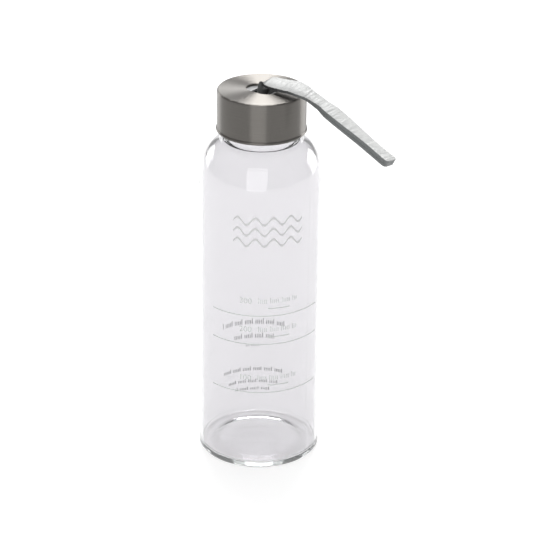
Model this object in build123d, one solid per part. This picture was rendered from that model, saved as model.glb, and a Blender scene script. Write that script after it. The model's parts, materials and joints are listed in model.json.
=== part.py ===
"""Glass water bottle, about 500 ml: blown glass body with a screw neck, and a drawn steel lid with a moulded
threaded liner, a seal ring and a flat carrying strap looped round a bar under a slot in the lid's top.

Millimetres. The origin is the centre of the base, +Z is up the bottle's axis, and the strap lies towards +X.
"""
from build123d import *
import os
from math import cos, radians, sin

# ---- glass body ----------------------------------------------------------------------------------------------
BODY_R = 33.0               # outside radius of the straight wall
WALL = 2.0                  # thickness of the blown side wall
FLOOR = 2.6                 # height of the inner floor at its edge
FLOOR_RISE = 0.5            # the inner floor is a little higher in the middle
FOOT_CORNER = 2.5           # outside corner between foot and wall
FOOT_R = BODY_R - FOOT_CORNER   # outer radius of the flat ring that the bottle stands on
FOOT_RING = 4.0             # width of that ring
FOOT_HOLLOW = 0.8           # depth of the hollow inside it
INNER_CORNER = 2.2          # inside corner between floor and wall
SHOULDER_Z = 157.5          # where the straight wall ends
SHOULDER_RISE = 23.5        # height of the shoulder's quarter ellipse
NECK_R = 19.6               # outside radius of the neck, at the root of its thread
NECK_BORE_R = 17.2          # inside radius of the neck
NECK_FILLET = 1.2           # outside corner between shoulder and neck
RIM_Z = 202.6               # top of the mouth
RIM_ROUND = 0.7             # fire-polished edges of the mouth

# ---- screw thread, two starts --------------------------------------------------------------------------------
LEAD = 8.0                  # rise of the lid in one turn
STARTS = 2
GLASS_THREAD_H = 1.3        # how far the glass ridge stands out of the neck
GLASS_THREAD_Z = 191.3      # height of the middle of each glass ridge at its lower end
GLASS_THREAD_TURNS = 0.9
LINER_THREAD_H = 1.2        # how far the liner's ridge stands in from its wall
LINER_THREAD_TURNS = 0.55
RIDGE_ROOT = 2.6            # width of a ridge at its root
RIDGE_CREST = 1.1           # width of a ridge at its crest
ROOT_SINK = 0.4             # how deep a ridge is rooted in its wall

# ---- lid -----------------------------------------------------------------------------------------------------
LID_TOP_Z = 208.0
LID_BOTTOM_Z = 185.6
SHELL_R = 23.4              # outside radius of the steel skirt
SHEET = 0.5                 # thickness of the steel
SHELL_EDGE_R = 0.9          # outside corner between top and skirt
BEAD_R = 0.9                # section radius of the rolled bottom bead
BEAD_OUT = 0.55             # how far the bead stands outside the skirt
SLOT_LENGTH = 18.0          # stadium opening in the top, along X
SLOT_WIDTH = 12.0
SLOT_FLANGE = 1.2           # height of the turned-down edge round the opening

LINER_GAP = 0.05            # radial fit of the liner in the shell
LINER_WALL_R = 21.3         # inside radius of the liner's skirt
LINER_BOTTOM_Z = 187.6
PLATE_Z = (203.8, 205.6)    # the liner's top plate
PLUG_R = 16.7               # outside radius of the wall that reaches into the mouth
PLUG_WALL = 1.3
PLUG_BOTTOM_Z = 199.4
WELL = (18.6, 12.8)         # pocket for the bar, length along X and width along Y
WELL_FLOOR_Z = 198.7
WELL_WALL = 1.2

FRAME_THICK = 1.2           # slot frame's plate
FRAME_LIP = 1.4             # its border outside the shell's turned-down edge
HOLE_X = (-4.4, 6.0)        # opening of the slot frame that the strap comes out of
HOLE_WIDTH = 10.8
HOLE_ROUND = 1.2
LEG_THICK = 0.8             # the two legs that carry the bar
LEG_LENGTH = 5.4
LEG_DEPTH = 6.0

BAR_R = 1.2
BAR_FIT = 0.02              # radial clearance of the bar in the legs
BAR_Z = 202.4

SEAL_R = (17.0, 19.5)
SEAL_GAP = 0.02             # above the mouth

# ---- strap ---------------------------------------------------------------------------------------------------
STRAP_WIDTH = 10.0
LAYER = 1.25                # thickness of one layer of the strap
STRAP_THICK = 2 * LAYER + 0.1
BAR_ROOM = 0.1              # between the bar and the strap round it
FLEX_Z = LID_TOP_Z + 1.7    # height of the line that the loop bends about as it comes out of the slot
FLEX_GAP = 0.3
# Middle of the loop's thickness, from the flex line to its far end: x, and height above the lid's top.
LOOP_ROUTE = [(0.0, 1.7), (3.0, 3.6), (22.0, 3.2), (44.0, -3.6), (80.0, -21.0)]
LOOP_RADII = [2.2, 16.0, 45.0]

# ---- printed scale -------------------------------------------------------------------------------------------
INK_GAP = 0.02
INK_THICK = 0.06
LINE_WIDTH = 0.6
LINE_Z = (47.0, 75.9, 92.6)
PRINT_MIDDLE = -44.0        # direction that the print faces, in degrees from +X
PRINT_SPAN = 112.0

os.makedirs("parts", exist_ok=True)


def ring(r_in, r_out, z_low, z_high):
    """A plain ring round the bottle's axis."""
    outer = Pos(0, 0, z_low) * Cylinder(r_out, z_high - z_low, align=(Align.CENTER, Align.CENTER, Align.MIN))
    inner = Pos(0, 0, z_low - 1) * Cylinder(r_in, z_high - z_low + 2, align=(Align.CENTER, Align.CENTER, Align.MIN))
    return outer - inner


def ridge(root_r, height, z_start, turns, start_angle):
    """One helical thread ridge. A positive height stands outwards from root_r, a negative one inwards."""
    sign = 1 if height > 0 else -1
    path = Pos(0, 0, z_start) * Helix(pitch=LEAD, height=LEAD * turns, radius=root_r)
    section_plane = Plane(origin=path @ 0, x_dir=(1, 0, 0), z_dir=path % 0)
    half_root, half_crest = RIDGE_ROOT / 2, RIDGE_CREST / 2
    section = section_plane * Polygon(
        (-sign * ROOT_SINK, -half_root),
        (-sign * ROOT_SINK, half_root),
        (height, half_crest),
        (height, -half_crest),
        align=None,
    )
    return Rot(0, 0, start_angle) * sweep(section, path=path, is_frenet=True)


def threads(root_r, height, z_start, turns, first_angle):
    """The thread's starts, evenly round the axis."""
    return [
        ridge(root_r, height, z_start, turns, first_angle + 360 / STARTS * i)
        for i in range(STARTS)
    ]


def glass_body():
    """Body, shoulder and neck as one turned wall of glass, with the screw ridges on its neck."""
    neck_start_z = SHOULDER_Z + SHOULDER_RISE
    inner_r = BODY_R - WALL
    with BuildSketch(Plane.XZ) as outside:
        with BuildLine():
            hollow = Line((0, FOOT_HOLLOW), (FOOT_R - FOOT_RING - 6, FOOT_HOLLOW))
            step = Spline(hollow @ 1, (FOOT_R - FOOT_RING, 0), tangents=[(1, 0), (1, 0)])
            foot = Line(step @ 1, (FOOT_R, 0))
            corner = CenterArc((FOOT_R, FOOT_CORNER), FOOT_CORNER, -90, 90)
            wall = Line(corner @ 1, (BODY_R, SHOULDER_Z))
            shoulder = EllipticalCenterArc(
                (NECK_R, SHOULDER_Z), BODY_R - NECK_R, SHOULDER_RISE, arc_size=90
            )
            neck = Line(shoulder @ 1, (NECK_R, RIM_Z))
            top = Line(neck @ 1, (0, RIM_Z))
            Line(top @ 1, hollow @ 0)
        make_face()
    with BuildSketch(Plane.XZ) as inside:
        with BuildLine():
            floor = Line((0, FLOOR + FLOOR_RISE), (8, FLOOR + FLOOR_RISE))
            slope = Spline(floor @ 1, (inner_r - INNER_CORNER, FLOOR), tangents=[(1, 0), (1, 0)])
            corner = CenterArc((inner_r - INNER_CORNER, FLOOR + INNER_CORNER), INNER_CORNER, -90, 90)
            wall = Line(corner @ 1, (inner_r, SHOULDER_Z))
            shoulder = EllipticalCenterArc(
                (NECK_BORE_R, SHOULDER_Z), inner_r - NECK_BORE_R, SHOULDER_RISE - WALL, arc_size=90
            )
            bore = Line(shoulder @ 1, (NECK_BORE_R, RIM_Z + 5))
            top = Line(bore @ 1, (0, RIM_Z + 5))
            Line(top @ 1, floor @ 0)
        make_face()
    glass = revolve(outside.sketch, Axis.Z) - revolve(inside.sketch, Axis.Z)
    rim = [e for e in glass.edges().filter_by(GeomType.CIRCLE) if abs(e.center().Z - RIM_Z) < 1e-3]
    glass = fillet(rim, RIM_ROUND)
    neck_corner = [
        e for e in glass.edges().filter_by(GeomType.CIRCLE)
        if abs(e.center().Z - neck_start_z) < 1e-3 and abs(e.radius - NECK_R) < 1e-3
    ]
    if neck_corner:
        glass = fillet(neck_corner, NECK_FILLET)
    for one in threads(NECK_R, GLASS_THREAD_H, GLASS_THREAD_Z, GLASS_THREAD_TURNS, 0):
        glass = glass + one
    return glass


def printed_scale():
    """The long lines of the scale, as thin films of fired ink on the wall."""
    film_in = BODY_R + INK_GAP
    lines = []
    for z in LINE_Z:
        section = Plane.XZ * Pos(film_in + INK_THICK / 2, z) * Rectangle(INK_THICK, LINE_WIDTH)
        start = PRINT_MIDDLE - PRINT_SPAN / 2
        lines.append(Rot(0, 0, start) * revolve(section, Axis.Z, revolution_arc=PRINT_SPAN))
    return lines


def stadium(length, width, z_low, z_high):
    """A slab with half-round ends, along X."""
    return Pos(0, 0, z_low) * extrude(SlotOverall(length, width), z_high - z_low)


def lid_shell():
    """The drawn steel cap, its rolled bottom bead and the turned-down edge of the slot."""
    bead_centre = (SHELL_R + BEAD_OUT - BEAD_R, LID_BOTTOM_Z + BEAD_R)
    low = bead_centre[1]
    cap = Pos(0, 0, low) * Cylinder(SHELL_R, LID_TOP_Z - low, align=(Align.CENTER, Align.CENTER, Align.MIN))
    cap = fillet(cap.edges().group_by(Axis.Z)[-1], SHELL_EDGE_R)
    hollow = Pos(0, 0, low - 1) * Cylinder(
        SHELL_R - SHEET, LID_TOP_Z - SHEET - low + 1, align=(Align.CENTER, Align.CENTER, Align.MIN)
    )
    hollow = fillet(hollow.edges().group_by(Axis.Z)[-1], SHELL_EDGE_R - SHEET)
    bead = revolve(Plane.XZ * Pos(*bead_centre) * Circle(BEAD_R), Axis.Z)
    flange = stadium(SLOT_LENGTH + 2 * SHEET, SLOT_WIDTH + 2 * SHEET, LID_TOP_Z - SLOT_FLANGE, LID_TOP_Z - SHEET / 2)
    opening = stadium(SLOT_LENGTH, SLOT_WIDTH, LID_TOP_Z - 5, LID_TOP_Z + 5)
    shell = cap - hollow + bead + flange - opening
    return shell


def lid_liner():
    """The moulded insert: threaded skirt, top plate, the wall that reaches into the mouth and the bar's pocket."""
    outer_r = SHELL_R - SHEET - LINER_GAP
    plate_low, plate_high = PLATE_Z
    skirt = ring(LINER_WALL_R, outer_r, LINER_BOTTOM_Z, plate_high)
    plate = Pos(0, 0, plate_low) * Cylinder(
        outer_r, plate_high - plate_low, align=(Align.CENTER, Align.CENTER, Align.MIN)
    )
    border = ring(outer_r - 2, outer_r, plate_high - 0.5, LID_TOP_Z - SHEET - 0.5)
    plug = ring(PLUG_R - PLUG_WALL, PLUG_R, PLUG_BOTTOM_Z, plate_low + 0.5)
    length, width = WELL
    box_low = WELL_FLOOR_Z - WELL_WALL
    well_outside = Pos(0, 0, box_low) * extrude(
        RectangleRounded(length + 2 * WELL_WALL, width + 2 * WELL_WALL, 3), plate_high - box_low
    )
    well_inside = Pos(0, 0, WELL_FLOOR_Z) * extrude(RectangleRounded(length, width, 1.8), 10)
    liner = skirt + plate + border + plug + well_outside - well_inside
    half_gap = LEAD / STARTS / 2
    start_z = GLASS_THREAD_Z - half_gap + 0.1
    for one in threads(LINER_WALL_R, -LINER_THREAD_H, start_z, LINER_THREAD_TURNS, 0):
        liner = liner + one
    return liner


def slot_frame():
    """The insert under the slot: a plate with the strap's opening, and two legs that carry the bar."""
    top_z = LID_TOP_Z - SLOT_FLANGE
    low_z = top_z - FRAME_THICK
    collar = SHEET + 0.1
    length, width = SLOT_LENGTH + 2 * collar, SLOT_WIDTH + 2 * collar
    plate = stadium(length + 2 * FRAME_LIP, width + 2 * FRAME_LIP, low_z, LID_TOP_Z - SHEET)
    plate = plate - stadium(length, width, top_z, LID_TOP_Z + 1)
    hole_length = HOLE_X[1] - HOLE_X[0]
    hole_middle = (HOLE_X[0] + HOLE_X[1]) / 2
    hole = Pos(hole_middle, 0, low_z - 1) * extrude(
        RectangleRounded(hole_length, HOLE_WIDTH, HOLE_ROUND), FRAME_THICK + 2
    )
    frame = plate - hole
    for side in (-1, 1):
        leg_y = side * (HOLE_WIDTH + LEG_THICK) / 2
        leg = Pos(0, leg_y, low_z - LEG_DEPTH) * Box(
            LEG_LENGTH, LEG_THICK, LEG_DEPTH + FRAME_THICK / 2, align=(Align.CENTER, Align.CENTER, Align.MIN)
        )
        frame = frame + leg
    bore = Pos(0, 0, BAR_Z) * Rot(90, 0, 0) * Cylinder(BAR_R + BAR_FIT, 2 * WELL[1])
    return frame - bore


def strap_bar():
    """The steel bar that the strap is looped round."""
    return Pos(0, 0, BAR_Z) * Rot(90, 0, 0) * Cylinder(BAR_R, HOLE_WIDTH + 2 * LEG_THICK)


def seal_ring():
    """The silicone ring between the mouth of the glass and the lid."""
    return ring(SEAL_R[0], SEAL_R[1], RIM_Z + SEAL_GAP, PLATE_Z[0])


def strap_root():
    """The part of the strap inside the lid: one layer round the bar, and two layers up through the slot."""
    inner = BAR_R + BAR_ROOM
    outer = inner + LAYER
    turn = Cylinder(outer, STRAP_WIDTH)
    stem_top = FLEX_Z - STRAP_THICK / 2 - FLEX_GAP
    turn = Pos(0, 0, BAR_Z) * Rot(90, 0, 0) * turn
    stem = Pos(0, 0, BAR_Z) * Box(
        STRAP_THICK, STRAP_WIDTH, stem_top - BAR_Z, align=(Align.CENTER, Align.CENTER, Align.MIN)
    )
    room = Pos(0, 0, BAR_Z) * Rot(90, 0, 0) * Cylinder(inner, STRAP_WIDTH + 1)
    return turn + stem - room


def strap_loop():
    """The loop outside the lid, two layers lying together, with a round start that it bends about."""
    points = [(x, 0, LID_TOP_Z + z) for x, z in LOOP_ROUTE]
    path = FilletPolyline(*points, radius=LOOP_RADII)
    section = Plane(origin=path @ 0, x_dir=(0, 1, 0), z_dir=path % 0) * Rectangle(STRAP_WIDTH, STRAP_THICK)
    start = Pos(0, 0, FLEX_Z) * Rot(90, 0, 0) * Cylinder(STRAP_THICK / 2, STRAP_WIDTH)
    return sweep(section, path=path) + start


NODES = {
    "glass_body": glass_body,
    "printed_scale": printed_scale,
    "lid_shell": lid_shell,
    "lid_liner": lid_liner,
    "slot_frame": slot_frame,
    "strap_bar": strap_bar,
    "seal_ring": seal_ring,
    "strap_root": strap_root,
    "strap_loop": strap_loop,
}

for name, make in NODES.items():
    made = make()
    shape = Compound(children=made) if isinstance(made, list) else made
    export_step(shape, f"parts/{name}.step")
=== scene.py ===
"""Glass water bottle with a screw lid and a carrying strap: its finishes, its printed marks, its strap and a
plain studio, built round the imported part. Metres, in the part's own frame."""

import json
import math

import bmesh
import bpy
from bpy.props import FloatProperty, FloatVectorProperty, PointerProperty, StringProperty
from mathutils import Matrix, Quaternion, Vector

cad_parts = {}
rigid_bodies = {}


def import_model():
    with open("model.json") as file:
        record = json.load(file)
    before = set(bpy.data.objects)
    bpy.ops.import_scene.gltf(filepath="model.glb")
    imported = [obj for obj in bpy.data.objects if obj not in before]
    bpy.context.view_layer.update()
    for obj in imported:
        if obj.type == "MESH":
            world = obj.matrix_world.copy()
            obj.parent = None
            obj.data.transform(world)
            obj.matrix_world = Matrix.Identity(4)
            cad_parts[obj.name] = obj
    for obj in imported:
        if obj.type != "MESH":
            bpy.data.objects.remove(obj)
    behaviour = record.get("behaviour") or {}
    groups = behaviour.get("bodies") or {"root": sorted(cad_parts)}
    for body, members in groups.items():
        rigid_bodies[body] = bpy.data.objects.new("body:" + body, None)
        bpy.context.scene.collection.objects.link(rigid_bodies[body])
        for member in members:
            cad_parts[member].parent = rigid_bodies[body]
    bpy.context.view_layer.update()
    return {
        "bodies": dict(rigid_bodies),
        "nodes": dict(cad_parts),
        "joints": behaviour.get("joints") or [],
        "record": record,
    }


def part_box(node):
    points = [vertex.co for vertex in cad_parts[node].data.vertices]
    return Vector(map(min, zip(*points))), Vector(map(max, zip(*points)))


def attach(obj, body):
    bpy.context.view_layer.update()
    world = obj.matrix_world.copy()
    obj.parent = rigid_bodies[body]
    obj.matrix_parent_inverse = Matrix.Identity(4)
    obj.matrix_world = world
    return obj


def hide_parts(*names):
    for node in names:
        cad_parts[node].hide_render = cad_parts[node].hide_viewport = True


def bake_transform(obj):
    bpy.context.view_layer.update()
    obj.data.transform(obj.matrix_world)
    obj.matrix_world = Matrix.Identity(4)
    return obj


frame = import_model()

bl_info = {
    "name": "Glass water bottle",
    "version": (1, 0, 0),
    "blender": (4, 5, 0),
    "location": "3D View > Sidebar > Bottle",
    "description": "Finishes, prints, straps and lights a glass water bottle",
    "category": "Object",
}

MM = 0.001
BODY_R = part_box("glass_body")[1].x
LID_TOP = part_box("lid_shell")[1].z
BAR_Z = sum(corner.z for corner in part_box("strap_bar")) / 2


# ---- settings ------------------------------------------------------------------------------------------------

def hex_colour(name, description, default):
    """A colour setting, as an sRGB hex code."""
    return StringProperty(name=name, description=description, default=default)


def length(name, description, default, **limits):
    """A length setting, in metres."""
    return FloatProperty(name=name, description=description, default=default, unit="LENGTH", precision=5, **limits)


def angle(name, description, degrees):
    """An angle setting, given in degrees."""
    return FloatProperty(name=name, description=description, default=math.radians(degrees), subtype="ANGLE")


class BottleGlass(bpy.types.PropertyGroup):
    tint: hex_colour("Tint", "Colour that a wall's thickness leaves in the light", "#E7E6E8")
    depth_tint: hex_colour("Depth tint", "Colour that a long run inside the glass takes on", "#E4E6E5")
    depth_density: FloatProperty(
        name="Depth density", description="How fast a long run takes on that colour, per metre", default=40.0, min=0,
    )
    ink: hex_colour("Ink", "Colour of the fired ink", "#C9CCCB")
    pale_ink: hex_colour("Pale ink", "Colour of the waves' ink", "#CBCBCC")
    ink_gap: length("Ink gap", "Room between the wall and the ink", 0.03 * MM, min=0)
    ink_thick: length("Ink thickness", "Thickness of the ink", 0.05 * MM, min=0)
    line_width: length("Line width", "Height of each long line of the scale", 0.55 * MM, min=0)
    print_middle: angle("Print middle", "Direction that the print faces, from +X", -44)
    print_span: angle("Print span", "How far round the long lines reach", 112)


class BottleLid(bpy.types.PropertyGroup):
    steel: hex_colour("Steel", "Colour of the brushed steel", "#7A7773")
    groove: length("Groove", "Distance between the brushed grooves", 0.22 * MM, min=0)
    liner: hex_colour("Liner", "Colour of the moulded liner", "#262627")
    insert: hex_colour("Slot frame", "Colour of the slot frame", "#8F9090")
    seal: hex_colour("Seal", "Colour of the silicone ring", "#EFEFEA")


class BottleStrap(bpy.types.PropertyGroup):
    coated: hex_colour("Coating", "Colour of the coated faces", "#BEBFBE")
    edge: hex_colour("Cut edge", "Colour of the woven core at the cut edges", "#7C7F7F")
    thread: hex_colour("Thread", "Colour of the sewing thread", "#F2F2F0")
    width: length("Width", "Width of the strap", 10 * MM, min=0)
    layer: length("Layer", "Thickness of one layer where the strap hangs free", 1.7 * MM, min=0)


class BottleStudio(bpy.types.PropertyGroup):
    floor: hex_colour("Floor", "Colour of the floor", "#9C9C9C")
    floor_glow: FloatProperty(
        name="Floor glow", description="Light that the floor gives back evenly", default=0.76, min=0,
    )
    sky: FloatVectorProperty(
        name="Room", description="Brightness of the room at the horizon and overhead",
        default=(0.40, 0.48), size=2, min=0,
    )
    camera_turn: angle("Camera turn", "Direction that the camera looks from, from -Y towards +X", 38)
    camera_rise: angle("Camera rise", "Angle of the camera above the horizon", 25.368)
    camera_distance: length("Camera distance", "Distance from the point that the camera looks at", 1.2551)
    camera_lens: FloatProperty(
        name="Camera lens", description="Focal length for a 36 mm wide sensor, in mm", default=152.47, min=1,
    )
    camera_roll: angle("Camera roll", "Turn of the camera about the way it looks", 0.7386)


# ---- making nodes and meshes -----------------------------------------------------------------------------------

def linear(text, alpha=1.0):
    """An sRGB hex colour as linear RGBA."""
    parts = [int(text[i:i + 2], 16) / 255 for i in (1, 3, 5)]
    return (*[p / 12.92 if p <= 0.04045 else ((p + 0.055) / 1.055) ** 2.4 for p in parts], alpha)


def darker(text, share):
    """An sRGB hex colour as linear RGBA, with its light cut to a share."""
    return tuple(share * c for c in linear(text)[:3]) + (1.0,)


def add(tree, kind, inputs=None, **settings):
    """Adds one node. A setting is an attribute of the node, and an input is a value or the socket that feeds it."""
    node = tree.nodes.new(kind)
    for name, value in settings.items():
        setattr(node, name, value)
    for name, value in (inputs or {}).items():
        if isinstance(value, bpy.types.NodeSocket):
            tree.links.new(value, node.inputs[name])
        else:
            node.inputs[name].default_value = value
    return node


def new_material(name):
    """An empty material and its tree."""
    material = bpy.data.materials.new(name)
    material.use_nodes = True
    material.node_tree.nodes.clear()
    return material, material.node_tree


def close(tree, shader):
    """Joins a shader to the material's output."""
    add(tree, "ShaderNodeOutputMaterial", {"Surface": shader})


def dress(node_name, material):
    """Gives a CAD node its finish."""
    for slot in frame["nodes"][node_name].material_slots:
        slot.material = material


def object_from(name, mesh_maker, materials):
    """A new object from a function that fills a bmesh."""
    mesh = bpy.data.meshes.new(name)
    bm = bmesh.new()
    mesh_maker(bm)
    bm.to_mesh(mesh)
    bm.free()
    for material in materials:
        mesh.materials.append(material)
    made = bpy.data.objects.new(name, mesh)
    bpy.context.scene.collection.objects.link(made)
    return made


# ---- materials -----------------------------------------------------------------------------------------------

def blown_glass(tint, depth_tint, depth_density):
    """Borosilicate, blown in a mould and fire polished: clear and glossy, with a very slight wave in its wall."""
    material, tree = new_material("Borosilicate glass, blown and fire polished")
    place = add(tree, "ShaderNodeTexCoord").outputs["Object"]
    # waves about 30 mm long, from the mould
    wave = add(tree, "ShaderNodeTexNoise", {"Vector": place, "Scale": 1 / 0.030, "Detail": 0.0})
    bump = add(tree, "ShaderNodeBump", {"Height": wave.outputs["Fac"], "Strength": 0.12, "Distance": 0.0006})
    shader = add(tree, "ShaderNodeBsdfPrincipled", {
        "Base Color": linear(tint), "Roughness": 0.0, "IOR": 1.47, "Transmission Weight": 1.0,
        "Normal": bump.outputs["Normal"],
    })
    # a thick run of glass, as in the wall seen edge on and in the base, holds a little light back
    depth = add(tree, "ShaderNodeVolumeAbsorption", {"Color": linear(depth_tint), "Density": depth_density})
    add(tree, "ShaderNodeOutputMaterial", {"Surface": shader.outputs["BSDF"], "Volume": depth.outputs["Volume"]})
    return material


def fired_ink(colour):
    """Ceramic ink, screen printed and fired: satin, with the screen's fine grain in it."""
    material, tree = new_material("Ceramic ink, screen printed and fired")
    place = add(tree, "ShaderNodeTexCoord").outputs["Object"]
    grain = add(tree, "ShaderNodeTexNoise", {"Vector": place, "Scale": 1 / 0.0008, "Detail": 2.0})
    shade = add(tree, "ShaderNodeMix", {
        "Factor": grain.outputs["Fac"], 6: linear(colour), 7: darker(colour, 0.86),
    }, data_type="RGBA")
    shader = add(tree, "ShaderNodeBsdfPrincipled", {"Base Color": shade.outputs[2], "Roughness": 0.55})
    close(tree, shader.outputs["BSDF"])
    return material


def brushed_steel(name, colour, groove, roughness=0.34, anisotropy=1.0):
    """Stainless steel, spun and brushed round its axis: the grooves draw highlights out across themselves."""
    material, tree = new_material(name)
    place = add(tree, "ShaderNodeTexCoord").outputs["Object"]
    parts = add(tree, "ShaderNodeSeparateXYZ", {"Vector": place})
    flat = add(tree, "ShaderNodeCombineXYZ", {"X": parts.outputs["X"], "Y": parts.outputs["Y"], "Z": 0.0})
    radius = add(tree, "ShaderNodeVectorMath", {0: flat.outputs["Vector"]}, operation="LENGTH")
    # the grooves lie side by side down the skirt and outwards over the top
    across = add(tree, "ShaderNodeMath", {0: radius.outputs["Value"], 1: parts.outputs["Z"]}, operation="ADD")
    turn = add(tree, "ShaderNodeMath", {0: parts.outputs["Y"], 1: parts.outputs["X"]}, operation="ARCTAN2")
    # real grooves are about 0.05 mm apart, and are drawn coarser so that they show
    lines = add(tree, "ShaderNodeMath", {0: across.outputs[0], 1: 1 / groove}, operation="MULTIPLY")
    stroke = add(tree, "ShaderNodeMath", {0: turn.outputs[0], 1: 1.6}, operation="MULTIPLY")
    at = add(tree, "ShaderNodeCombineXYZ", {"X": lines.outputs[0], "Y": stroke.outputs[0], "Z": 0.0})
    brush = add(tree, "ShaderNodeTexNoise", {
        "Vector": at.outputs["Vector"], "Scale": 1.0, "Detail": 3.0, "Roughness": 0.7,
    })
    shade = add(tree, "ShaderNodeMix", {
        "Factor": brush.outputs["Fac"], 6: darker(colour, 0.66), 7: linear(colour),
    }, data_type="RGBA")
    rough = add(tree, "ShaderNodeMapRange", {
        "Value": brush.outputs["Fac"], "To Min": roughness - 0.06, "To Max": roughness + 0.06,
    })
    bump = add(tree, "ShaderNodeBump", {"Height": brush.outputs["Fac"], "Strength": 0.3, "Distance": 0.00003})
    tangent = add(tree, "ShaderNodeTangent", direction_type="RADIAL", axis="Z")
    shader = add(tree, "ShaderNodeBsdfPrincipled", {
        "Base Color": shade.outputs[2], "Metallic": 1.0, "Roughness": rough.outputs["Result"],
        "Anisotropic": anisotropy, "Anisotropic Rotation": 0.25,
        "Tangent": tangent.outputs["Tangent"], "Normal": bump.outputs["Normal"],
    })
    close(tree, shader.outputs["BSDF"])
    return material


def moulded(name, colour, roughness, grain_mm, see_through=0.0, ior=1.49):
    """A moulded plastic or rubber: even colour with a little variation, and the fine grain of its mould."""
    material, tree = new_material(name)
    place = add(tree, "ShaderNodeTexCoord").outputs["Object"]
    grain = add(tree, "ShaderNodeTexNoise", {"Vector": place, "Scale": 1 / (grain_mm * MM), "Detail": 2.0})
    cloud = add(tree, "ShaderNodeTexNoise", {"Vector": place, "Scale": 1 / 0.012, "Detail": 1.0})
    shade = add(tree, "ShaderNodeMix", {
        "Factor": cloud.outputs["Fac"], 6: linear(colour), 7: darker(colour, 0.93),
    }, data_type="RGBA")
    bump = add(tree, "ShaderNodeBump", {"Height": grain.outputs["Fac"], "Strength": 0.2, "Distance": 0.00004})
    shader = add(tree, "ShaderNodeBsdfPrincipled", {
        "Base Color": shade.outputs[2], "Roughness": roughness, "IOR": ior,
        "Transmission Weight": see_through, "Normal": bump.outputs["Normal"],
    })
    close(tree, shader.outputs["BSDF"])
    return material


def strap_coating(colour, shade_colour):
    """Polyurethane laid over the webbing and rolled smooth: silky, with small creases across it."""
    material, tree = new_material("Webbing face, polyurethane coated")
    run = add(tree, "ShaderNodeAttribute", attribute_name="along").outputs["Fac"]
    side = add(tree, "ShaderNodeAttribute", attribute_name="across").outputs["Fac"]
    # creases about 2.5 mm apart that wander across the width
    at = add(tree, "ShaderNodeCombineXYZ", {
        "X": add(tree, "ShaderNodeMath", {0: run, 1: 1 / 0.0025}, operation="MULTIPLY").outputs[0],
        "Y": add(tree, "ShaderNodeMath", {0: side, 1: 1 / 0.012}, operation="MULTIPLY").outputs[0],
        "Z": 0.0,
    })
    crease = add(tree, "ShaderNodeTexNoise", {"Vector": at.outputs["Vector"], "Scale": 1.0, "Detail": 3.0})
    place = add(tree, "ShaderNodeTexCoord").outputs["Object"]
    grain = add(tree, "ShaderNodeTexNoise", {"Vector": place, "Scale": 1 / 0.0004, "Detail": 1.0})
    height = add(tree, "ShaderNodeMath", {
        0: grain.outputs["Fac"], 1: 0.12, 2: crease.outputs["Fac"],
    }, operation="MULTIPLY_ADD")
    # painted shade: the coat is darker towards the low parts of the creases
    coat_and_crease_shade = add(tree, "ShaderNodeMix", {
        "Factor": crease.outputs["Fac"], 6: darker(colour, 0.82), 7: linear(colour),
    }, data_type="RGBA")
    # painted shade: the coated faces go dark where the band lies deep in the slot
    shade_share = add(tree, "ShaderNodeAttribute", attribute_name="face_shade").outputs["Fac"]
    shade = add(tree, "ShaderNodeMix", {
        "Factor": shade_share, 6: coat_and_crease_shade.outputs[2], 7: darker(shade_colour, 0.16),
    }, data_type="RGBA")
    bump = add(tree, "ShaderNodeBump", {"Height": height.outputs[0], "Strength": 1.0, "Distance": 0.0012})
    shader = add(tree, "ShaderNodeBsdfPrincipled", {
        "Base Color": shade.outputs[2], "Roughness": 0.42, "Sheen Weight": 0.15, "Sheen Roughness": 0.4,
        "Normal": bump.outputs["Normal"],
    })
    close(tree, shader.outputs["BSDF"])
    return material


def strap_edge(colour):
    """Cut polyester webbing: grey, dull, with the ends of its threads about 0.45 mm apart."""
    material, tree = new_material("Webbing core, cut polyester weave")
    run = add(tree, "ShaderNodeAttribute", attribute_name="along").outputs["Fac"]
    place = add(tree, "ShaderNodeTexCoord").outputs["Object"]
    parts = add(tree, "ShaderNodeSeparateXYZ", {"Vector": place})
    at = add(tree, "ShaderNodeCombineXYZ", {"X": run, "Y": parts.outputs["Z"], "Z": parts.outputs["Y"]})
    threads = add(tree, "ShaderNodeTexVoronoi", {"Vector": at.outputs["Vector"], "Scale": 1 / 0.00045})
    weave = add(tree, "ShaderNodeMix", {
        "Factor": threads.outputs["Distance"], 6: linear(colour), 7: darker(colour, 0.55),
    }, data_type="RGBA")
    # painted shade: darkened where the band lies in the slot, in the lid's shadow
    shade_share = add(tree, "ShaderNodeAttribute", attribute_name="edge_shade").outputs["Fac"]
    shade = add(tree, "ShaderNodeMix", {
        "Factor": shade_share, 6: weave.outputs[2], 7: darker(colour, 0.16),
    }, data_type="RGBA")
    bump = add(tree, "ShaderNodeBump", {
        "Height": threads.outputs["Distance"], "Strength": 0.6, "Distance": 0.0002,
    }, invert=True)
    shader = add(tree, "ShaderNodeBsdfPrincipled", {
        "Base Color": shade.outputs[2], "Roughness": 0.85, "Sheen Weight": 0.2, "Normal": bump.outputs["Normal"],
    })
    close(tree, shader.outputs["BSDF"])
    return material


# ---- printed marks -------------------------------------------------------------------------------------------

LINE_Z = (47.0 * MM, 75.9 * MM, 92.6 * MM)
INK_STEP = math.radians(1.0)
# Ticks stand in fives with a gap after them, and the first of each five is the tallest.
TICK_PITCH = 1.05 * MM
TICK_WIDTH = 0.42 * MM
TICK_GROUP = 6
SHORT_TICK = 0.72
# What stands above each long line: places from the print's middle and up from the line.
NUMERAL_X, NUMERAL_UP, NUMERAL_SIZE = -12 * MM, 7.2 * MM, 4.6 * MM
TICKS_START, TICKS_END, TICKS_UP, TICKS_TALL = -5 * MM, 17 * MM, 9.0 * MM, 3.2 * MM
DASH_X, DASH_UP, DASH_LONG, DASH_TALL = 6 * MM, 4.4 * MM, 12 * MM, 0.6 * MM
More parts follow.
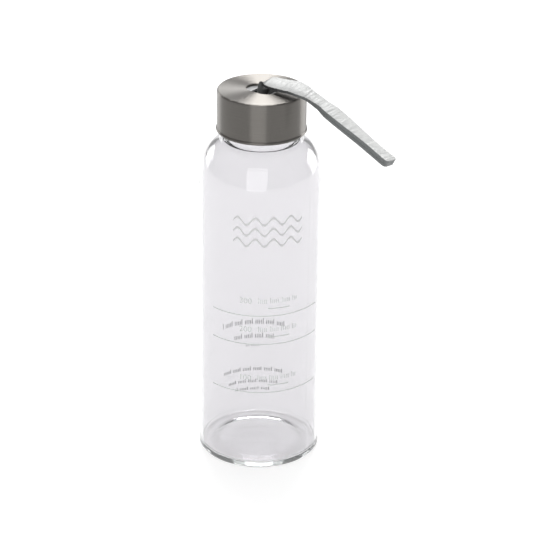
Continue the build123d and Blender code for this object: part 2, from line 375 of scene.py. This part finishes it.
# The band of waves under the shoulder.
WAVE_ROWS, WAVE_COUNT, WAVE_STEPS = 3, 4, 24
WAVE_Z, WAVE_PITCH, WAVE_SPAN, WAVE_RISE, WAVE_WIDTH = 147 * MM, 6 * MM, 38 * MM, 2.0 * MM, 1.3 * MM
# Rows of ticks on the far side: height up the wall, half length and height of a tick, mm.
BACK_ROWS = (
    (57.7, 19.0, 3.4), (48.8, 12.5, 3.2), (42.8, 4.0, 1.6), (27.9, 18.0, 2.6), (20.2, 15.0, 2.2), (15.4, 10.0, 2.0),
)


def wrap_on_wall(bm, middle):
    """Bends flat ink in the XY plane, x round the wall and y up it, onto the outside of the glass. z is outwards."""
    settings = bpy.context.scene.bottle_glass
    near = BODY_R + settings.ink_gap
    for vert in bm.verts:
        turn = middle + vert.co.x / BODY_R
        r = near + vert.co.z
        vert.co = Vector((r * math.cos(turn), r * math.sin(turn), vert.co.y))


def long_line(bm, z, middle, span):
    """One long line of the scale, turned round the wall."""
    settings = bpy.context.scene.bottle_glass
    near = BODY_R + settings.ink_gap
    corners = [(near, -0.5), (near + settings.ink_thick, -0.5), (near + settings.ink_thick, 0.5), (near, 0.5)]
    start = Matrix.Rotation(middle - span / 2, 3, "Z")
    verts = [bm.verts.new(start @ Vector((r, 0, z + side * settings.line_width))) for r, side in corners]
    section = bm.faces.new(verts)
    bmesh.ops.spin(
        bm, geom=[section], cent=(0, 0, 0), axis=(0, 0, 1), angle=span, steps=round(span / INK_STEP), use_merge=False,
    )


def flat_mark(bm, x, y, width, height, thick, steps=6):
    """A short flat dash of ink."""
    made = bmesh.ops.create_grid(bm, x_segments=steps, y_segments=1, size=0.5)
    bmesh.ops.scale(bm, vec=(width, height, 1), verts=made["verts"])
    bmesh.ops.translate(bm, vec=(x, y, 0), verts=made["verts"])
    thicken(bm, made["verts"], thick)


def tick_row(bm, start, end, y, height, thick):
    """A row of short upright ticks in fives, as on a ruler."""
    for i in range(int((end - start) / TICK_PITCH) + 1):
        if i % TICK_GROUP < TICK_GROUP - 1:
            tall = height if i % TICK_GROUP == 0 else SHORT_TICK * height
            flat_mark(bm, start + i * TICK_PITCH, y + (tall - height) / 2, TICK_WIDTH, tall, thick, steps=1)


def thicken(bm, verts, thick):
    """Gives flat ink its thickness, outwards."""
    faces = list({face for vert in verts for face in vert.link_faces})
    made = bmesh.ops.extrude_face_region(bm, geom=faces, use_keep_orig=True)
    top = [part for part in made["geom"] if isinstance(part, bmesh.types.BMVert)]
    bmesh.ops.translate(bm, vec=(0, 0, thick), verts=top)


def wave(bm, y, thick):
    """A wavy stroke of ink."""
    made = bmesh.ops.create_grid(bm, x_segments=WAVE_STEPS * WAVE_COUNT, y_segments=1, size=0.5)
    bmesh.ops.scale(bm, vec=(WAVE_SPAN, WAVE_WIDTH, 1), verts=made["verts"])
    for vert in made["verts"]:
        vert.co.y += WAVE_RISE * math.sin(2 * math.pi * WAVE_COUNT * vert.co.x / WAVE_SPAN)
    bmesh.ops.translate(bm, vec=(0, y, 0), verts=made["verts"])
    thicken(bm, made["verts"], thick)


def numeral(bm, text, x, y, size, thick):
    """A number of the scale, from the built-in letter shapes."""
    curve = bpy.data.curves.new("numeral", "FONT")
    curve.body = text
    curve.size = size
    curve.align_x = "CENTER"
    curve.resolution_u = 3
    holder = bpy.data.objects.new("numeral", curve)
    mesh = bpy.data.meshes.new_from_object(holder)
    one = bmesh.new()
    one.from_mesh(mesh)
    bmesh.ops.remove_doubles(one, verts=one.verts, dist=0.000001)
    bmesh.ops.translate(one, vec=(x, y, 0), verts=one.verts)
    thicken(one, list(one.verts), thick)
    one.to_mesh(mesh)
    one.free()
    bm.from_mesh(mesh)
    bpy.data.objects.remove(holder)
    bpy.data.curves.remove(curve)
    bpy.data.meshes.remove(mesh)


class BOTTLE_OT_glass(bpy.types.Operator):
    """Gives the glass body its finish"""

    bl_idname = "bottle.glass"
    bl_label = "Finish the glass"

    def execute(self, context):
        settings = context.scene.bottle_glass
        dress("glass_body", blown_glass(settings.tint, settings.depth_tint, settings.depth_density))
        return {"FINISHED"}


class BOTTLE_OT_print(bpy.types.Operator):
    """Prints the scale on the glass: long lines, numerals, short dashes and a band of waves"""

    bl_idname = "bottle.print"
    bl_label = "Print the scale"

    def execute(self, context):
        settings = context.scene.bottle_glass
        ink = fired_ink(settings.ink)
        middle, span, thick = settings.print_middle, settings.print_span, settings.ink_thick

        def lines(bm):
            for z in LINE_Z:
                long_line(bm, z, middle, span)

        def waves(bm):
            for row in range(WAVE_ROWS):
                wave(bm, WAVE_Z - row * WAVE_PITCH, thick)
            wrap_on_wall(bm, middle)

        def front_marks(bm):
            for z, text in zip(LINE_Z, ("100", "200", "300")):
                numeral(bm, text, NUMERAL_X, z + NUMERAL_UP, NUMERAL_SIZE, thick)
                tick_row(bm, TICKS_START, TICKS_END, z + TICKS_UP, TICKS_TALL, thick)
                flat_mark(bm, DASH_X, z + DASH_UP, DASH_LONG, DASH_TALL, thick)
            wrap_on_wall(bm, middle)

        def back_marks(bm):
            for z, half, tall in BACK_ROWS:
                tick_row(bm, -half * MM, half * MM, z * MM, tall * MM, thick)
            wrap_on_wall(bm, middle + math.pi)

        scale = object_from("print_lines", lines, [ink])
        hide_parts("printed_scale")
        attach(scale, "bottle")
        pale = fired_ink(settings.pale_ink)
        for name, maker, colour in (
            ("print_waves", waves, pale), ("print_front", front_marks, ink), ("print_back", back_marks, ink),
        ):
            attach(object_from(name, maker, [colour]), "bottle")
        return {"FINISHED"}


# ---- lid -------------------------------------------------------------------------------------------------------

class BOTTLE_OT_lid(bpy.types.Operator):
    """Gives the lid's steel shell, liner, slot frame, bar and seal their finishes"""

    bl_idname = "bottle.lid"
    bl_label = "Finish the lid"

    def execute(self, context):
        lid = context.scene.bottle_lid
        dress("lid_shell", brushed_steel("Stainless steel, spun and brushed", lid.steel, lid.groove))
        dress("strap_bar", brushed_steel("Stainless steel wire, drawn", lid.steel, lid.groove, 0.2, 0.3))
        dress("lid_liner", moulded("Polypropylene, moulded", lid.liner, 0.45, 0.5))
        dress("slot_frame", moulded("ABS, moulded", lid.insert, 0.4, 0.3))
        dress("seal_ring", moulded("Silicone rubber, moulded", lid.seal, 0.5, 0.4, 0.2, 1.41))
        return {"FINISHED"}


# ---- strap -----------------------------------------------------------------------------------------------------

# Middle of the two layers, from the bar to the far end: x, sideways y and height above the lid's top, mm.
STRAP_ROUTE = (
    (0.0, 0.0, -4.2), (0.0, 0.2, -2.4), (-0.2, 1.2, -0.6), (-1.0, 2.8, 0.9), (-0.8, 3.9, 2.3), (2.4, 4.2, 2.9),
    (7.0, 4.2, 2.9), (13.0, 4.2, 3.4), (20.0, 4.2, 4.0), (30.0, 4.2, 1.5), (45.0, 4.2, -5.2), (60.0, 4.2, -12.3),
    (72.0, 4.2, -18.1), (80.2, 4.2, -21.6),
)
# Turn of the strap about its own length, positive with the -Y edge down: x mm and degrees.
STRAP_TWIST = ((-0.6, 0.0), (1.0, 10.0), (4.0, 17.0), (26.0, 17.0), (44.0, -1.0), (68.0, -12.0), (80.0, -10.0))
# Thickness of a layer as a share of its full thickness, x mm and share: it is pressed flat in the slot and over
# the lid.
STRAP_PRESS = ((4.0, 0.5), (22.0, 0.5), (46.0, 1.0))
# Width of the strap as a share of its full width, by height above the lid's top in mm: it is drawn together in
# the slot.
STRAP_NARROW = ((-4.0, 1.0), (-1.0, 0.72), (1.5, 0.7), (3.9, 1.0))
# Painted shade: how far the band is darkened near the slot, where the lid shades it, x mm and share, at its cut edges
# and on its faces. Up to the height above the lid and before the x in mm that follow, the faces are shaded all over.
EDGE_SHADE = ((3.0, 1.0), (24.0, 0.4), (52.0, 0.0))
FACE_SHADE = ((-0.3, 0.9), (1.6, 0.0))
FACE_SHADE_TOP = 2.2 * MM
FACE_SHADE_END = 4.0
# Half of the gap between the layers, x mm and mm.
STRAP_GAP = ((0.0, 0.03), (20.0, 0.03), (40.0, 0.08), (60.0, 0.08), (74.0, 0.03))
# Height of the creases across the strap, x mm and mm, and the three waves that add up to them: length over 2 pi in
# mm, share and phase. CREASE_SUM brings their sum to about 1.
CREASES = ((4.0, 0.0), (9.0, 0.16), (40.0, 0.14), (62.0, 0.03))
CREASE_WAVES = ((0.31, 1.0, 0.0), (0.57, 0.7, 1.0), (1.3, 0.6, 0.0))
CREASE_SUM = 0.45
SECTION_EDGE = 0.16 * MM
STEP = 0.45 * MM
END_ROUND = 1.8 * MM
# The fold round the bar: the bar's radius, the room round it, and the wrap in half turns.
BAR_R = 1.2 * MM
BAR_GAP = 0.1 * MM
BAR_WRAP = 1.24
BAR_STEPS = 18
# The sewn field at the end: where it starts and ends, its inset from the edges, and its stitches.
STITCH_START = 2.4 * MM
STITCH_FIELD = 15 * MM
STITCH_INSET = 1.2 * MM
STITCH_PITCH = 2.1 * MM
STITCH_SIZE = (1.5 * MM, 0.42 * MM, 0.4 * MM)
ROW_STITCHES = 4
ROW_PITCH = 1.75 * MM


def between(table, x):
    """A value read from a short table of pairs, easing from each to the next."""
    if x <= table[0][0]:
        return table[0][1]
    for (x0, v0), (x1, v1) in zip(table, table[1:]):
        if x <= x1:
            t = (x - x0) / (x1 - x0)
            return v0 + (v1 - v0) * t * t * (3 - 2 * t)
    return table[-1][1]


def route_points():
    """Evenly spaced points on the smooth line through the strap's route."""
    curve = bpy.data.curves.new("route", "CURVE")
    curve.dimensions = "3D"
    spline = curve.splines.new("NURBS")
    spline.points.add(len(STRAP_ROUTE) - 1)
    for point, (x, y, z) in zip(spline.points, STRAP_ROUTE):
        point.co = (x * MM, y * MM, LID_TOP + z * MM, 1)
    spline.order_u = 3
    spline.use_endpoint_u = True
    spline.resolution_u = 24
    holder = bpy.data.objects.new("route", curve)
    mesh = bpy.data.meshes.new_from_object(holder)
    points = [v.co.copy() for v in mesh.vertices]
    bpy.data.objects.remove(holder)
    bpy.data.curves.remove(curve)
    bpy.data.meshes.remove(mesh)
    total = sum((b - a).length for a, b in zip(points, points[1:]))
    count = round(total / STEP)
    made, walked, target = [points[0]], 0.0, total / count
    for a, b in zip(points, points[1:]):
        run = (b - a).length
        while walked + run >= target - 1e-9 and len(made) <= count:
            made.append(a.lerp(b, (target - walked) / run))
            target += total / count
        walked += run
    return made


def strap_frames():
    """Places along the middle of the two layers: point, width direction (shorter where it is narrow) and outward."""
    middle = route_points()
    half_width = bpy.context.scene.bottle_strap.width / 2
    frames, over_lid = [], False
    for i, point in enumerate(middle):
        ahead = (middle[min(i + 1, len(middle) - 1)] - middle[max(i - 1, 0)]).normalized()
        side = Vector((0, 1, 0))
        side = (side - ahead * side.dot(ahead)).normalized()
        up = ahead.cross(side)
        twist = math.radians(between(STRAP_TWIST, point.x / MM))
        rise = (point.z - LID_TOP) / MM
        over_lid = over_lid or rise > STRAP_NARROW[-1][0]
        share = 1.0 if over_lid else between(STRAP_NARROW, rise)
        to_end = (len(middle) - 1 - i) * STEP
        if to_end < END_ROUND:
            share -= (END_ROUND - math.sqrt(max(END_ROUND ** 2 - (END_ROUND - to_end) ** 2, 0.0))) / half_width
        wide = (side * math.cos(twist) + up * math.sin(twist)) * share
        out = up * math.cos(twist) - side * math.sin(twist)
        frames.append((point, wide, out))
    return frames


def half_layer_at(x):
    """Half of the thickness of one layer."""
    return bpy.context.scene.bottle_strap.layer / 2 * between(STRAP_PRESS, x / MM)


def layer_offset(point, run, outer):
    """How far the middle of a layer lies from the middle of the two, with its creases."""
    x = point.x / MM
    offset = half_layer_at(point.x) + between(STRAP_GAP, x) * MM
    if outer:
        crease = CREASE_SUM * sum(share * math.sin(run / (size * MM) + phase) for size, share, phase in CREASE_WAVES)
        offset += between(CREASES, x) * crease * MM
    return offset


class BOTTLE_OT_strap(bpy.types.Operator):
    """Makes the carrying strap: one band folded round the bar, its two layers laid together and sewn at the end"""

    bl_idname = "bottle.strap"
    bl_label = "Make the strap"

    def execute(self, context):
        settings = context.scene.bottle_strap
        frames = strap_frames()
        bar = Vector((0, 0, BAR_Z))

        # down the outer layer, round the bar, and back along the inner layer
        stations = []
        for i in reversed(range(len(frames))):
            point, wide, out = frames[i]
            stations.append((point + out * layer_offset(point, i * STEP, True), wide, out))
        for i in range(BAR_STEPS + 1):
            turn = math.pi * (0.5 + BAR_WRAP * (0.5 - i / BAR_STEPS))
            out = Vector((math.cos(turn), 0, -math.sin(turn)))
            stations.append((bar + out * (BAR_R + BAR_GAP + half_layer_at(0)), Vector((0, 1, 0)), out))
        for i, (point, wide, out) in enumerate(frames):
            stations.append((point - out * layer_offset(point, i * STEP, False), wide, -out))

        half_width, edge = settings.width / 2, SECTION_EDGE
        # corners of a layer's section: place across, face and how far below the face
        section = [
            (-half_width + edge, -1, 0), (half_width - edge, -1, 0), (half_width, -1, edge), (half_width, 1, edge),
            (half_width - edge, 1, 0), (-half_width + edge, 1, 0), (-half_width, 1, edge), (-half_width, -1, edge),
        ]

        def band(bm):
            """The whole band, one section at each station."""
            names = ("along", "across", "edge_shade", "face_shade", "inside")
            marks = [bm.verts.layers.float.new(name) for name in names]
            count = len(section)
            made = bmesh.ops.create_grid(bm, x_segments=len(stations) - 1, y_segments=count, size=1)
            verts = sorted(made["verts"], key=lambda v: (round(v.co.x, 5), round(v.co.y, 5)))
            run, last = 0.0, stations[0][0]
            for i, (point, wide, out) in enumerate(stations):
                run += (point - last).length
                last = point
                x = point.x / MM
                for k in range(count + 1):
                    w, face, below = section[k % count]
                    vert = verts[i * (count + 1) + k]
                    vert.co = point + wide * w + out * face * (half_layer_at(point.x) - below)
                    # painted shade in the slot: one share for the cut edges and one for the faces
                    low = point.z < LID_TOP + FACE_SHADE_TOP and x < FACE_SHADE_END
                    shade_share = FACE_SHADE[0][1] if low else between(FACE_SHADE, x)
                    values = (run, w, between(EDGE_SHADE, x), shade_share, float(face < 0))
                    for mark, value in zip(marks, values):
                        vert[mark] = value
            bmesh.ops.remove_doubles(bm, verts=bm.verts, dist=0.000002)
            bmesh.ops.holes_fill(bm, edges=[e for e in bm.edges if e.is_boundary])
            bmesh.ops.recalc_face_normals(bm, faces=bm.faces)
            # the coating is only on the outside: the edges, the ends and the inner faces show the weave
            limit = half_width - 0.6 * edge
            for one in bm.faces:
                cut = len(one.verts) > 4 or any(abs(v[marks[1]]) > limit for v in one.verts)
                one.smooth = len(one.verts) <= 4
                one.material_index = int(cut or all(v[marks[4]] > 0.5 for v in one.verts))

        strap = object_from(
            "strap", band, [strap_coating(settings.coated, settings.edge), strap_edge(settings.edge)]
        )
        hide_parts("strap_root", "strap_loop")

        def stitch(bm, frame, w, lengthways, face):
            """One stitch on a face of the strap, w across from its middle."""
            point, wide, out = frame
            ahead = wide.cross(out).normalized()
            made = bmesh.ops.create_icosphere(bm, subdivisions=1, radius=0.5)
            long_way, short_way = (ahead, wide.normalized()) if lengthways else (wide.normalized(), ahead)
            place = point + wide * w + out * face * (settings.layer + 0.05 * MM)
            for vert in made["verts"]:
                x, y, z = (part * size for part, size in zip(vert.co, STITCH_SIZE))
                vert.co = place + long_way * x + short_way * y + out * z

        def seam(bm):
            """A sewn rectangle on each face."""
            last = len(frames) - 1
            inset = half_width - STITCH_INSET
            near, far = round(STITCH_START / STEP), round(STITCH_FIELD / STEP)
            for face in (1, -1):
                for i in range(int((far - near) * STEP / STITCH_PITCH) + 1):
                    at = frames[last - near - round(i * STITCH_PITCH / STEP)]
                    for side in (-1, 1):
                        stitch(bm, at, side * inset, True, face)
                for row in (near, far):
                    for i in range(ROW_STITCHES):
                        stitch(bm, frames[last - row], (i - (ROW_STITCHES - 1) / 2) * ROW_PITCH, False, face)
            for one in bm.faces:
                one.smooth = True

        thread = moulded("Polyester thread, twisted", settings.thread, 0.6, 0.3)
        stitches = object_from("strap_stitches", seam, [thread])
        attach(stitches, "strap")

        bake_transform(strap)
        return {"FINISHED"}


# ---- studio ----------------------------------------------------------------------------------------------------

FLOOR_R = 5.0
# The floor lies a hair under the foot, so that the two faces don't fight.
FLOOR_DROP = 0.1 * MM
# The point that the lamps face, and the point that the camera looks at: up the axis, and to the camera's right.
LIGHT_AIM_Z = 120 * MM
CAMERA_AIM_Z, CAMERA_AIM_RIGHT = 101.2 * MM, 8.0 * MM
# Name, turn round the bottle in degrees from the camera, rise, distance, width, height, watts.
LIGHTS = (
    ("overhead_softbox", 180, 62, 1.7, 0.6, 1.1, 31.0),
    ("back_softbox", 180, 24, 1.9, 1.1, 0.5, 4.2),
    ("right_softbox", 126, 10, 1.5, 0.7, 0.6, 7.0),
    ("left_softbox", -134, 10, 1.5, 0.6, 0.5, 3.5),
    ("front_softbox", -8, 20, 1.9, 1.3, 1.8, 13.0),
)


def outwards(turn, rise):
    """The direction out from the axis that is turned from -Y towards +X and raised above the horizon."""
    return Vector((math.sin(turn) * math.cos(rise), -math.cos(turn) * math.cos(rise), math.sin(rise)))


class BOTTLE_OT_studio(bpy.types.Operator):
    """Lays the floor and sets the lights, the room and the camera"""

    bl_idname = "bottle.studio"
    bl_label = "Set the studio"

    def execute(self, context):
        scene = context.scene
        settings = scene.bottle_studio
        material, tree = new_material("Paper sweep, matt")
        place = add(tree, "ShaderNodeTexCoord").outputs["Object"]
        grain = add(tree, "ShaderNodeTexNoise", {"Vector": place, "Scale": 1 / 0.002, "Detail": 2.0})
        bump = add(tree, "ShaderNodeBump", {"Height": grain.outputs["Fac"], "Strength": 0.05, "Distance": 0.0001})
        shader = add(tree, "ShaderNodeBsdfPrincipled", {
            "Base Color": linear(settings.floor), "Roughness": 0.9, "Specular IOR Level": 0.1,
            "Emission Color": (1.0, 1.0, 1.0, 1.0), "Emission Strength": settings.floor_glow,
            "Normal": bump.outputs["Normal"],
        })
        close(tree, shader.outputs["BSDF"])
        mesh = bpy.data.meshes.new("floor")
        bm = bmesh.new()
        bmesh.ops.create_circle(bm, cap_ends=True, segments=96, radius=FLOOR_R)
        bmesh.ops.translate(bm, vec=(0, 0, -FLOOR_DROP), verts=bm.verts)
        bm.to_mesh(mesh)
        bm.free()
        mesh.materials.append(material)
        floor = bpy.data.objects.new("floor", mesh)
        scene.collection.objects.link(floor)

        world = bpy.data.worlds.new("Studio room")
        world.use_nodes = True
        tree = world.node_tree
        tree.nodes.clear()
        where = add(tree, "ShaderNodeTexCoord").outputs["Generated"]
        height = add(tree, "ShaderNodeSeparateXYZ", {"Vector": where}).outputs["Z"]
        low, high = settings.sky
        bright = add(tree, "ShaderNodeMapRange", {
            "Value": height, "From Min": 0.0, "From Max": 0.9, "To Min": low, "To Max": high,
        })
        glow = add(tree, "ShaderNodeBackground", {"Color": (1, 1, 1, 1), "Strength": bright.outputs["Result"]})
        add(tree, "ShaderNodeOutputWorld", {"Surface": glow.outputs["Background"]})
        scene.world = world

        for name, turn, rise, far, wide, tall, watts in LIGHTS:
            back = outwards(settings.camera_turn + math.radians(turn), math.radians(rise))
            data = bpy.data.lights.new(name, "AREA")
            data.shape, data.size, data.size_y, data.energy = "RECTANGLE", wide, tall, watts
            lamp = bpy.data.objects.new(name, data)
            lamp.location = Vector((0, 0, LIGHT_AIM_Z)) + back * far
            lamp.rotation_euler = (-back).to_track_quat("-Z", "Y").to_euler()
            scene.collection.objects.link(lamp)

        back = outwards(settings.camera_turn, settings.camera_rise)
        right = Vector((math.cos(settings.camera_turn), math.sin(settings.camera_turn), 0))
        data = bpy.data.cameras.new("camera")
        data.sensor_width, data.lens = 36.0, settings.camera_lens
        data.clip_start, data.clip_end = 0.05, 20.0
        camera = bpy.data.objects.new("camera", data)
        camera.location = Vector((0, 0, CAMERA_AIM_Z)) + right * CAMERA_AIM_RIGHT + back * settings.camera_distance
        camera.rotation_mode = "QUATERNION"
        roll = Quaternion((0, 0, 1), settings.camera_roll)
        camera.rotation_quaternion = (-back).to_track_quat("-Z", "Y") @ roll
        scene.collection.objects.link(camera)
        scene.camera = camera
        scene.view_settings.view_transform = "Standard"
        # light crosses the thick base of the bottle by many reflections inside it
        scene.cycles.max_bounces, scene.cycles.glossy_bounces, scene.cycles.transmission_bounces = 32, 24, 24
        return {"FINISHED"}


class BOTTLE_PT_parts(bpy.types.Panel):
    """Lists the steps that build the bottle"""

    bl_idname = "BOTTLE_PT_parts"
    bl_label = "Glass water bottle"
    bl_space_type = "VIEW_3D"
    bl_region_type = "UI"
    bl_category = "Bottle"

    def draw(self, context):
        for group in GROUPS:
            box = self.layout.box()
            settings = getattr(context.scene, group)
            for name in settings.bl_rna.properties.keys():
                if name not in ("rna_type", "name"):
                    box.prop(settings, name)
        for operator in OPERATORS:
            self.layout.operator(operator.bl_idname)


GROUPS = {
    "bottle_glass": BottleGlass,
    "bottle_lid": BottleLid,
    "bottle_strap": BottleStrap,
    "bottle_studio": BottleStudio,
}
OPERATORS = (BOTTLE_OT_glass, BOTTLE_OT_print, BOTTLE_OT_lid, BOTTLE_OT_strap, BOTTLE_OT_studio)


def register():
    for group in GROUPS.values():
        bpy.utils.register_class(group)
    for name, group in GROUPS.items():
        setattr(bpy.types.Scene, name, PointerProperty(type=group))
    for operator in OPERATORS:
        bpy.utils.register_class(operator)
    bpy.utils.register_class(BOTTLE_PT_parts)


def unregister():
    bpy.utils.unregister_class(BOTTLE_PT_parts)
    for operator in reversed(OPERATORS):
        bpy.utils.unregister_class(operator)
    for name in GROUPS:
        delattr(bpy.types.Scene, name)
    for group in reversed(list(GROUPS.values())):
        bpy.utils.unregister_class(group)


def main():
    """Builds everything."""
    register()
    bpy.ops.bottle.glass()
    bpy.ops.bottle.print()
    bpy.ops.bottle.lid()
    bpy.ops.bottle.strap()
    bpy.ops.bottle.studio()


if __name__ == "__main__":
    main()
